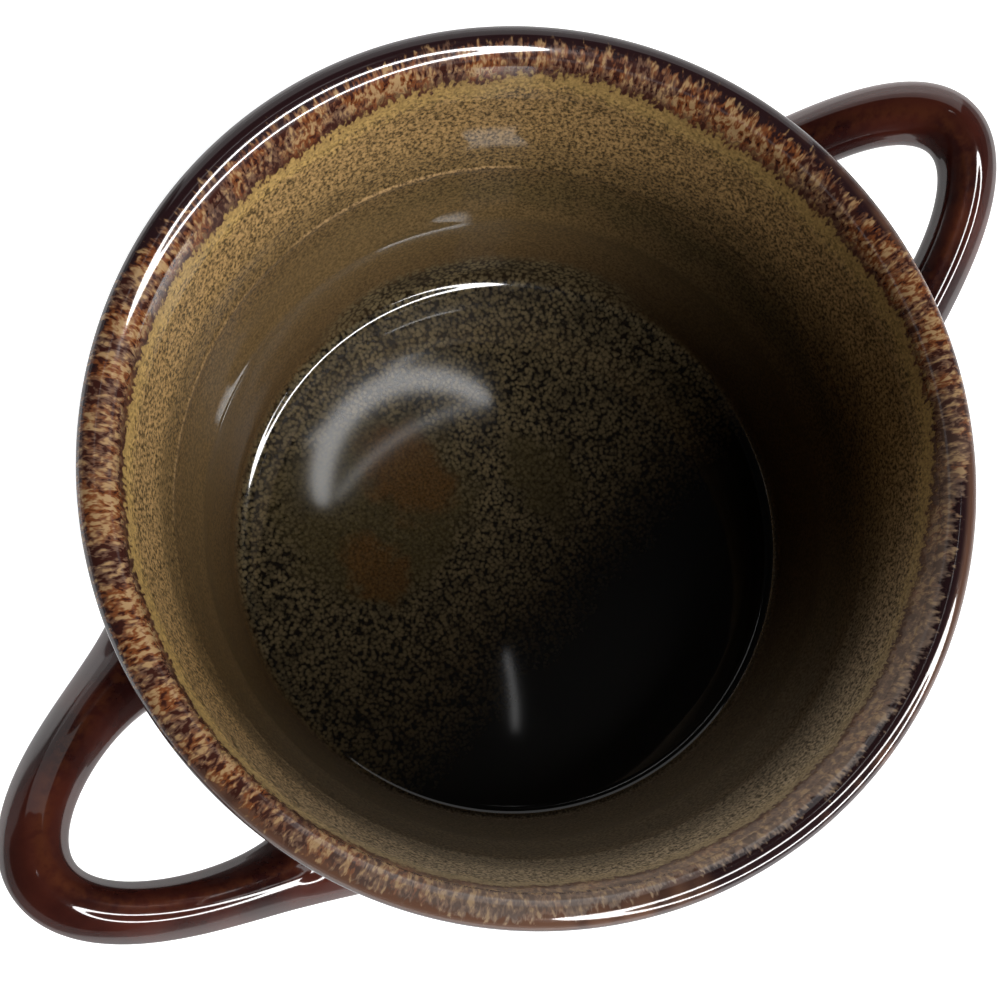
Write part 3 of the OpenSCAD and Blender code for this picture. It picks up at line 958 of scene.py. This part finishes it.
def coat_piece(name, shown, face, thickness, kept_row, way, poles=False):
    """A coat of glaze as a closed shell: the shown face with its relief, and the hidden face on the clay,
    sunk by the coat's thickness, with fewer rows. Each point keeps its way from the lip's top."""
    columns = face.shape[1]
    back_run = shown - thickness * normals(shown)
    keep = np.unique(np.concatenate([np.arange(0, len(shown), kept_row), [len(shown) - 1]]))
    if poles:
        back_run[-1, 0] = 0.0
    back = turned(back_run[keep], flat, columns)
    if poles:
        # one closed run from the floor's middle out, over the coat's edge and back under it to the middle
        face[-1], back[-1] = face[-1].mean(0), back[-1].mean(0)
        grid = np.concatenate([face[::-1], back])[:, ::-1]
        ways = np.concatenate([way[::-1], way[keep]])
        sharp = (len(face) - 1, len(face))
    else:
        grid = np.concatenate([face, back[::-1]])
        ways = np.concatenate([way, way[keep][::-1]])
        sharp = (0, len(face) - 1, len(face), len(grid) - 1)
    return skin(name, grid, poles, sharp, {"way": np.repeat(ways[:, None], columns, 1)})


def dressed(piece, material, node):
    """Gives a finished piece its material and its body, and hides the node that it stands for."""
    piece.data.materials.append(material)
    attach(piece, BODY)
    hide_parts(node)


class Maker(bpy.types.Operator):
    """Shared by the operators: the scene's values, with the outline that they give"""

    bl_options = {"REGISTER", "UNDO"}

    def values(self, context):
        """The sizes, the glazes, the handles, the colours and the outline."""
        scene = context.scene
        outline = Outline(scene.bowl_sizes, scene.glaze_sizes)
        return scene.bowl_sizes, scene.glaze_sizes, scene.handle_sizes, scene.finishes, outline


class BOWL_OT_clay(Maker):
    """Build the bare clay body with its turned foot, and give the slip joints their finish"""

    bl_idname = "bowl.clay"
    bl_label = "Clay body"

    def execute(self, context):
        sizes, glaze, _, shades, outline = self.values(context)
        liner, outer = in_mm(glaze, "liner_coat", "outer_coat")
        run = outline.clay(CLAY_STEP, liner, outer)
        grid = turned(run, turned_relief(sizes, outline, outer), CLAY_COLUMNS)
        grid[0], grid[-1] = grid[0].mean(0), grid[-1].mean(0)
        piece = skin("clay_body", grid, poles=True)
        dressed(piece, clay_material("bare_clay", shades.clay, shades.clay_grit), "body")
        slip = clay_material("fired_slip", shades.slip, shades.clay_grit)
        for side in ("left", "right"):
            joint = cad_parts[f"slip_joint_{side}"]
            joint.data.materials.clear()
            joint.data.materials.append(slip)
        return {"FINISHED"}


class BOWL_OT_inside(Maker):
    """Build the inside coat from the ochre line down to the middle of the floor"""

    bl_idname = "bowl.inside"
    bl_label = "Inside glaze"

    def execute(self, context):
        sizes, glaze, _, shades, outline = self.values(context)
        shown = outline.inside(LINER_STEP)
        way = outline.join_way + ran(outline.rim(RIM_STEP))[-1] + ran(shown)
        face = turned(shown, inside_relief(sizes, glaze, outline), LINER_COLUMNS)
        piece = coat_piece("inside_glaze", shown, face, glaze.liner_coat / MM, LINER_KEPT, way, poles=True)
        material = liner_material("speckled_liner", sizes, glaze, shades)
        dressed(piece, material, "liner_glaze")
        return {"FINISHED"}


class BOWL_OT_rim(Maker):
    """Build the streaked coat from the lip down to the ochre line"""

    bl_idname = "bowl.rim"
    bl_label = "Rim glaze"

    def execute(self, context):
        sizes, glaze, _, shades, outline = self.values(context)
        shown = outline.rim(RIM_STEP)
        way = outline.join_way + ran(shown)
        face = turned(shown, inside_relief(sizes, glaze, outline), RIM_COLUMNS)
        piece = coat_piece("rim_glaze_streaks", shown, face, glaze.liner_coat / MM, RIM_KEPT, way)
        dressed(piece, rim_material("streaked_rim", sizes, glaze, shades), "rim_glaze")
        return {"FINISHED"}


class BOWL_OT_outside(Maker):
    """Build the dark coat outside, from the lip down to the glaze line over the foot"""

    bl_idname = "bowl.outside"
    bl_label = "Outside glaze"

    def execute(self, context):
        sizes, glaze, _, shades, outline = self.values(context)
        shown = outline.outside(OUTSIDE_STEP)
        run = ran(shown)
        way = run - run[-1] + outline.join_way
        face = turned(shown, outside_relief(sizes, outline), OUTSIDE_COLUMNS)

        # the dipped edge: a thin bead, whose line wanders up and down a little round the bowl
        bead_out, bead_l, fade = in_mm(glaze, "bead_out", "bead_l", "edge_fade")
        a = np.linspace(0, 2 * math.pi, OUTSIDE_COLUMNS, endpoint=False)
        face[..., 2] += np.exp(-((run / fade) ** 2))[:, None] * waves(a, EDGE_WAVES)
        bead = bead_out * np.exp(-(((run - BEAD_AT) / bead_l) ** 2))[:, None]
        face[..., 0] += bead * np.cos(a)
        face[..., 1] += bead * np.sin(a)
        piece = coat_piece("outside_glaze", shown, face, glaze.outer_coat / MM, OUTSIDE_KEPT, way)
        material = outside_material("dark_glaze", sizes, glaze, shades)
        dressed(piece, material, "outer_glaze")
        return {"FINISHED"}


def trimmed(points, gap, seat, rings):
    """Rings of points, cut off where each lengthwise line leaves the wall at its seat and where it comes
    back to it. gap is each point's distance from the wall. Both cuts are found between two rings in
    proportion to their gaps, and new rings are set evenly from one cut to the other."""
    last = len(gap) - 1
    column = np.arange(gap.shape[1])

    def cut(depth):
        after = np.argmax(depth > -seat, axis=0)
        low, high = depth[after - 1, column], depth[after, column]
        return after - 1 + (-seat - low) / (high - low)

    start, end = cut(gap), last - cut(gap[::-1])
    at = start + (end - start) * np.linspace(0, 1, rings)[:, None]
    low = np.minimum(at.astype(int), last - 1)
    part = (at - low)[..., None]
    return points[low, column] * (1 - part) + points[low + 1, column] * part


def handle_grid(handle, outline, rings, columns):
    """The loop of a handle that points to +X, as rings of points in millimetres, with its crest value.

    The middle line is a cubic on a sheet that is level at the roots and bends up to its rise. A root
    swells as exp(-way / flare) and comes to rest at twice its swelling in its seat. The section is a
    rounded form, |x|^p + |y|^p = 1, with a soft crest. Near the wall each point moves out from the
    middle line by a quarter-circle fillet of its distance from the wall."""
    (root_drop, spacing, root_out, lead, loop_l, bend_l, grip_w, grip_t, root_w, root_t, flare, fillet, mark,
     seat) = in_mm(
        handle, "root_drop", "root_spacing", "root_out", "root_lead", "loop_l", "bend_l", "grip_w", "grip_t",
        "root_w", "root_t", "flare_l", "fillet", "pull_mark", "seat")
    half_gap = spacing / 2
    root_z = outline.bowl_h - root_drop
    wall_r = outline.centre_r(outline.lip_r, 0, root_z)
    root_x = math.sqrt(wall_r**2 - half_gap**2) + root_out
    seat_half = (grip_w + 2 * (root_w - grip_w)) / 2
    seat_l = root_x - math.sqrt(wall_r**2 - (half_gap + seat_half) ** 2) + outline.lip_r

    # the middle line, evenly stepped along its way
    t = np.linspace(0, 1, LOOP_STEPS)[:, None]
    turn = np.array([[0, half_gap], [lead, half_gap], [loop_l, handle.loop_turn * half_gap], [loop_l, 0]])
    back = 1 - t
    curve = back**3 * turn[0] + 3 * back**2 * t * turn[1] + 3 * back * t * t * turn[2] + t**3 * turn[3]
    half = np.concatenate([[[-seat_l, half_gap]], curve])
    whole = np.concatenate([half, half[-2::-1] * [1, -1]])
    run = ran(whole)
    even = np.linspace(0, run[-1], 2 * rings)
    mid = np.stack([np.interp(even, run, whole[:, 0]), np.interp(even, run, whole[:, 1])], 1)
    way = np.minimum(even, run[-1] - even) - seat_l
    swell = np.where(way > 0, np.exp(-np.maximum(way, 0) / flare), 2 - np.exp(np.minimum(way, 0) / flare))
    half_w = (grip_w + (root_w - grip_w) * swell) / 2
    half_t = (grip_t + (root_t - grip_t) * swell) / 2
    step = np.gradient(mid, axis=0)
    step /= np.linalg.norm(step, axis=1, keepdims=True)
    side = np.stack([-step[:, 1], step[:, 0]], 1)

    # the sheet
    bend_r = bend_l / handle.loop_slope
    up = handle.loop_slope * np.clip(mid[:, 0] / bend_l, 0, 1)
    past = np.maximum(mid[:, 0] - bend_l, 0)
    at_x = root_x + np.minimum(mid[:, 0], 0) + bend_r * np.sin(up) + past * np.cos(up)
    at_z = root_z + bend_r * (1 - np.cos(up)) + past * np.sin(up)

    # the section, and soft pulling marks along it
    a = np.linspace(0, 2 * math.pi, columns, endpoint=False)
    power = 2 / handle.fullness
    wide = np.sign(np.cos(a)) * np.abs(np.cos(a)) ** power
    deep = np.sign(np.sin(a)) * np.abs(np.sin(a)) ** power
    pulled = 1 + mark / grip_t * 2 * (waves(a, PULL_WAVES) - 1)
    w = half_w[:, None] * wide * pulled
    d = half_t[:, None] * deep * pulled
    off = np.stack([
        w * side[:, :1] * np.cos(up)[:, None] - d * np.sin(up)[:, None],
        w * side[:, 1:],
        w * side[:, :1] * np.sin(up)[:, None] + d * np.cos(up)[:, None],
    ], -1)
    points = np.stack([at_x, mid[:, 1], at_z], 1)[:, None] + off

    # the fillet, and the cut at the seat
    gap = outline.normal[0] * np.hypot(points[..., 0], points[..., 1]) + outline.normal[1] * points[..., 2]
    gap = gap - (outline.normal @ outline.lip_c + outline.lip_r)
    near = np.clip(1 - gap / fillet, 0, 1)
    reach = fillet * (1 - np.sqrt(1 - near**2))
    out = off / np.linalg.norm(off, axis=-1, keepdims=True)
    points = trimmed(points + out * reach[..., None], gap, seat, rings)
    crest = np.exp(-CREST_SHARPNESS * np.cos(a) ** 2) * (np.sin(a) > 0)
    return points, np.repeat(crest[None], rings, 0)


class BOWL_OT_handles(Maker):
    """Build both loop handles, with their pulling marks and the fillets where they meet the wall"""

    bl_idname = "bowl.handles"
    bl_label = "Handles"

    def execute(self, context):
        _, _, handle, shades, outline = self.values(context)
        points, crest = handle_grid(handle, outline, LOOP_RINGS, LOOP_COLUMNS)
        material = handle_material("handle_glaze", shades)
        for side in ("right", "left"):
            turn = handle.swing if side == "right" else math.pi - handle.swing
            c, s = math.cos(turn), math.sin(turn)
            spin = np.array([[c, -s, 0], [s, c, 0], [0, 0, 1]])
            rows = points @ spin.T
            ends = [np.repeat(row.mean(0)[None, None], rows.shape[1], 1) for row in (rows[0], rows[-1])]
            grid = np.concatenate([ends[0], rows, ends[1]])
            level = np.concatenate([crest[:1], crest, crest[-1:]])
            piece = skin(f"handle_loop_{side}", grid[:, ::-1], poles=True, sharp_rows=(1, len(grid) - 2),
                         values={"crest": level[:, ::-1]})
            dressed(piece, material, f"handle_{side}")
        return {"FINISHED"}


# Studio


def toward(turn, rise, off, height=None):
    """A point at an azimuth, an elevation and a distance from the point that the lamps face, or at a
    height of its own, in millimetres."""
    level = off * math.cos(rise)
    up = off * math.sin(rise) + AIM_Z if height is None else height
    return np.array([level * math.cos(turn), level * math.sin(turn), up])


def hoop(name, middle, facing_to, radius, width, start, end, glow):
    """A glowing tube along a circle's arc, in millimetres. The circle lies square to the direction from
    its middle to a point, its angle starts level and turns left as seen from that point, and the tube's
    ends taper to a point: its radius falls with the square root of one minus the way past the middle of
    the arc to the eighth power. A whole circle has no ends."""
    back = (middle - facing_to) / np.linalg.norm(middle - facing_to)
    level = np.cross([0.0, 0.0, 1.0], back)
    level = np.array([1.0, 0.0, 0.0]) if np.linalg.norm(level) < 1e-6 else level / np.linalg.norm(level)
    rise = np.cross(back, level)
    whole = end - start > 2 * math.pi - 1e-6
    a = np.linspace(start, end, HOOP_POINTS)[:-1] if whole else np.linspace(start, end, ARC_POINTS)
    out = np.cos(a)[:, None] * level + np.sin(a)[:, None] * rise
    taper = np.ones(len(a)) if whole else np.sqrt(1 - np.linspace(-1, 1, len(a)) ** 8)
    b = np.linspace(0, 2 * math.pi, TUBE_SIDES, endpoint=False)
    ring = np.cos(b)[None, :, None] * out[:, None] + np.sin(b)[None, :, None] * back
    grid = middle + radius * out[:, None] + width / 2 * taper[:, None, None] * ring
    lamp = skin(name, grid, poles=not whole)
    paint = Paint(bpy.data.materials.new(f"{name}_glow"))
    light = paint.node("ShaderNodeEmission", inputs={"Color": WHITE, "Strength": glow})
    paint.node("ShaderNodeOutputMaterial", inputs={"Surface": light})
    lamp.data.materials.append(paint.holder)
    lamp.visible_camera = lamp.visible_diffuse = False


def panel(name, place, rise, width, height, power):
    """A rectangular soft lamp in millimetres. It faces the axis, and leans down by its rise."""
    light = bpy.data.lights.new(name, "AREA")
    light.shape, light.size, light.size_y, light.energy = "RECTANGLE", width * MM, height * MM, power
    holder = bpy.data.objects.new(name, light)
    holder.location = place * MM
    holder.rotation_euler = (math.pi / 2 - rise, 0, math.atan2(-place[0], place[1]) + math.pi)
    holder.visible_camera = False
    bpy.context.scene.collection.objects.link(holder)
    return holder


def photo_camera(studio):
    """The camera at the photograph's angle."""
    view = bpy.data.cameras.new("photo_camera")
    view.sensor_width = 36
    view.lens = studio.camera_lens
    view.shift_x, view.shift_y = studio.camera_shift
    view.clip_start, view.clip_end = 0.01, 20
    camera = bpy.data.objects.new("photo_camera", view)
    camera.location = studio.camera_at
    camera.rotation_euler = studio.camera_turn
    bpy.context.scene.collection.objects.link(camera)
    bpy.context.scene.camera = camera


def paper_material(studio, flat_r):
    """Pale matt paper, duller towards the sweep's wall. It shows the camera and the gloss more white than
    its own light gives."""
    paint = Paint(bpy.data.materials.new("pale_paper"))
    x, y, _ = paint.split(paint.place())
    far = paint.step((x * x + y * y) ** 0.5, 0.35 * flat_r, flat_r)
    path = paint.node("ShaderNodeLightPath", output="Is Camera Ray")
    outputs = path.socket.node.outputs
    seen = path + Term(paint, outputs["Is Glossy Ray"]) + Term(paint, outputs["Is Transmission Ray"])
    lift = far * (studio.far_lift - studio.floor_lift) + studio.floor_lift
    tone = paint.mix(far, [studio.paper] * 3, [studio.paper_far] * 3)
    paper = paint.node("ShaderNodeBsdfDiffuse", inputs={"Color": tone})
    glow = paint.node("ShaderNodeEmission", inputs={"Color": WHITE, "Strength": seen.least(1.0) * lift})
    both = paint.node("ShaderNodeAddShader", inputs={0: paper, 1: glow})
    paint.node("ShaderNodeOutputMaterial", inputs={"Surface": both})
    return paint.holder


def pale_sweep(studio):
    """The floor, which curves up into a low wall far from the bowl, as one closed turned sheet."""
    flat_r, curve, height, sheet = in_mm(studio, "sweep_r", "sweep_curve", "sweep_h", "sweep_t")
    wall_r, wall_z = flat_r + curve, curve + height
    a = np.linspace(-math.pi / 2, 0, SWEEP_BEND)
    bend = np.stack([flat_r + curve * np.cos(a), curve + curve * np.sin(a)], 1)
    edge = [[wall_r, wall_z], [wall_r + sheet, wall_z], [wall_r + sheet, -sheet], [0.0, -sheet]]
    grid = turned(np.concatenate([[[0.0, 0.0], [flat_r / 4, 0.0]], bend, edge]), flat, SWEEP_COLUMNS)
    grid[0], grid[-1] = grid[0].mean(0), grid[-1].mean(0)
    rows = len(grid)
    sweep = skin("pale_sweep", grid[:, ::-1], poles=True, sharp_rows=tuple(range(rows - 4, rows)))
    sweep.data.materials.append(paper_material(studio, flat_r))


def lamps(studio, rim_z):
    """The key and the low fill, which light the glazes and stay out of the gloss, the white panel, and the
    hoops, which show in the gloss alone. rim_z is the height of the rim, which the fill clears."""
    key_off, key_w, key_h, hoop_off, hoop_r, hoop_w, top_h, panel_off, panel_w, panel_h = in_mm(
        studio, "key_off", "key_w", "key_h", "hoop_off", "hoop_r", "hoop_w", "top_h", "panel_off", "panel_w",
        "panel_h")
    fill_w, fill_h, fill_over = in_mm(studio, "fill_w", "fill_h", "fill_over")
    at = toward(studio.key_turn, studio.key_rise, key_off)
    key = panel("key_lamp", at, studio.key_rise, key_w, key_h, studio.key_power)
    at = toward(studio.panel_turn, 0.0, panel_off, panel_h / 2)
    panel("white_panel", at, 0.0, panel_w, panel_h, studio.panel_power)
    at = toward(studio.fill_turn, 0.0, panel_off, rim_z + fill_over + fill_h / 2)
    fill = panel("fill_lamp", at, 0.0, fill_w, fill_h, studio.fill_power)
    key.visible_glossy = fill.visible_glossy = False

    at = toward(studio.hoop_turn, studio.hoop_rise, hoop_off)
    middle = np.array([0.0, 0.0, AIM_Z])
    hoop("wide_hoop", at, middle, hoop_r, hoop_w, 0.0, 2 * math.pi, studio.hoop_glow)
    for number, (x, y, radius, width, start, end, amount) in enumerate(TOP_ARCS):
        above = np.array([x, y, top_h])
        start, end, glow = math.radians(start), math.radians(end), studio.top_glow * amount
        hoop(f"top_lamp_{number}", above, above - [0, 0, 1], radius, width, start, end, glow)


def soft_room(studio):
    """The room's light: dim at the horizon and dark overhead."""
    room = Paint(bpy.data.worlds.new("soft_room"))
    up = room.split(room.node("ShaderNodeTexCoord", output="Generated"))[2]
    level = room.step(up, 0.1, 0.8, studio.horizon, studio.zenith)
    glow = room.node("ShaderNodeBackground", inputs={"Color": WHITE, "Strength": level})
    room.node("ShaderNodeOutputWorld", inputs={"Surface": glow})
    bpy.context.scene.world = room.holder


class BOWL_OT_studio(Maker):
    """Set up the camera at the photograph's angle, the soft lamps and the pale sweep"""

    bl_idname = "bowl.studio"
    bl_label = "Studio"

    def execute(self, context):
        scene = context.scene
        studio = scene.bowl_studio
        photo_camera(studio)
        pale_sweep(studio)
        lamps(studio, scene.bowl_sizes.bowl_h / MM)
        soft_room(studio)
        scene.view_settings.view_transform = "Standard"
        return {"FINISHED"}


STEPS = (BOWL_OT_clay, BOWL_OT_inside, BOWL_OT_rim, BOWL_OT_outside, BOWL_OT_handles, BOWL_OT_studio)
GROUPS = {
    "bowl_sizes": BowlSizes,
    "glaze_sizes": GlazeSizes,
    "handle_sizes": HandleSizes,
    "finishes": Finishes,
    "bowl_studio": Studio,
}


class BOWL_PT_panel(bpy.types.Panel):
    """Lists the bowl's pieces and their values"""

    bl_idname = "BOWL_PT_panel"
    bl_label = "Soup bowl"
    bl_space_type = "VIEW_3D"
    bl_region_type = "UI"
    bl_category = "Soup bowl"

    def draw(self, context):
        column = self.layout.column()
        for maker in STEPS:
            column.operator(maker.bl_idname)
        for key, group in GROUPS.items():
            box = self.layout.box()
            box.label(text=group.__doc__)
            for name in group.__annotations__:
                box.prop(getattr(context.scene, key), name)


CLASSES = (*GROUPS.values(), *STEPS, BOWL_PT_panel)


def register():
    for kind in CLASSES:
        bpy.utils.register_class(kind)
    for key, group in GROUPS.items():
        setattr(bpy.types.Scene, key, PointerProperty(type=group))


def unregister():
    for key in GROUPS:
        delattr(bpy.types.Scene, key)
    for kind in reversed(CLASSES):
        bpy.utils.unregister_class(kind)


def main():
    """Makes every piece and the studio."""
    register()
    bpy.ops.bowl.clay()
    bpy.ops.bowl.inside()
    bpy.ops.bowl.rim()
    bpy.ops.bowl.outside()
    bpy.ops.bowl.handles()
    bpy.ops.bowl.studio()


if __name__ == "__main__":
    main()
